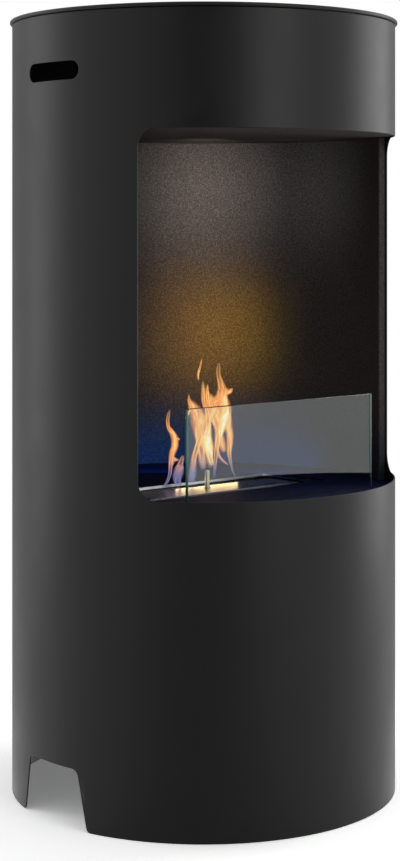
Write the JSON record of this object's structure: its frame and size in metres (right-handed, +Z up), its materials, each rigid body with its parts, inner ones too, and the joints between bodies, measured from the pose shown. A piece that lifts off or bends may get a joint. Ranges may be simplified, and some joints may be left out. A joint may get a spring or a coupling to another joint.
{
  "type": "bioethanol fireplace",
  "caption": "Free-standing round bioethanol stove with a wrap-around window, glass pane and a burner with a sliding lid.",
  "frame": {"origin": "centre of the base circle, on the floor", "axes": "+Z up; the window faces -Y; +X is to the right of someone looking into the window"},
  "size_m": [0.506, 0.506, 0.996],
  "materials": {
    "shell_coat": "satin",
    "liner_coat": "matte",
    "floor_coat": "gloss",
    "frame_coat": "matte",
    "zinc_steel": "satin",
    "stainless": "satin",
    "pin_steel": "polished",
    "wool": "matte",
    "seal": "matte",
    "glass": "gloss"
  },
  "bodies": {
    "stove": {"outer_shell": "shell_coat", "top_lid": "shell_coat", "firebox_liner": "liner_coat", "firebox_ceiling": "liner_coat", "firebox_floor": "floor_coat", "base_ring": "frame_coat", "rear_seam_strip": "zinc_steel", "glass_channel": "zinc_steel", "safety_tray": "zinc_steel", "lid_bracket_1": "zinc_steel", "lid_bracket_2": "zinc_steel", "lid_bracket_3": "zinc_steel", "lid_bracket_4": "zinc_steel", "lid_nut_1": "zinc_steel", "lid_nut_2": "zinc_steel", "lid_nut_3": "zinc_steel", "lid_nut_4": "zinc_steel", "ceiling_bracket_1": "zinc_steel", "ceiling_bracket_2": "zinc_steel", "ceiling_bracket_3": "zinc_steel", "ceiling_bracket_4": "zinc_steel", "ceiling_nut_1": "zinc_steel", "ceiling_nut_2": "zinc_steel", "ceiling_nut_3": "zinc_steel", "ceiling_nut_4": "zinc_steel", "floor_bracket_1": "zinc_steel", "floor_bracket_2": "zinc_steel", "floor_bracket_3": "zinc_steel", "floor_bracket_4": "zinc_steel", "floor_nut_1": "zinc_steel", "floor_nut_2": "zinc_steel", "floor_nut_3": "zinc_steel", "floor_nut_4": "zinc_steel", "tray_nut_1": "zinc_steel", "tray_nut_2": "zinc_steel", "tray_nut_3": "zinc_steel", "tray_nut_4": "zinc_steel", "glass_seal": "seal"},
    "burner": {"burner_tank": "stainless", "burner_top_plate": "stainless", "wool_block": "wool", "lid_rail_left": "stainless", "lid_rail_right": "stainless"},
    "sliding_lid": {"burner_lid": "stainless", "lid_pin": "pin_steel"},
    "pane": {"glass_pane": "glass"}
  },
  "joints": [
    {"name": "burner_lift", "type": "slide", "parent": "stove", "child": "burner", "axis": [0, 0, 1], "range_m": [0, 0.2]},
    {"name": "lid_slide", "type": "slide", "parent": "burner", "child": "sliding_lid", "axis": [0, 1, 0], "range_m": [0, 0.024]},
    {"name": "pane_lift", "type": "slide", "parent": "stove", "child": "pane", "axis": [0, 0, 1], "range_m": [0, 0.15]}
  ]
}
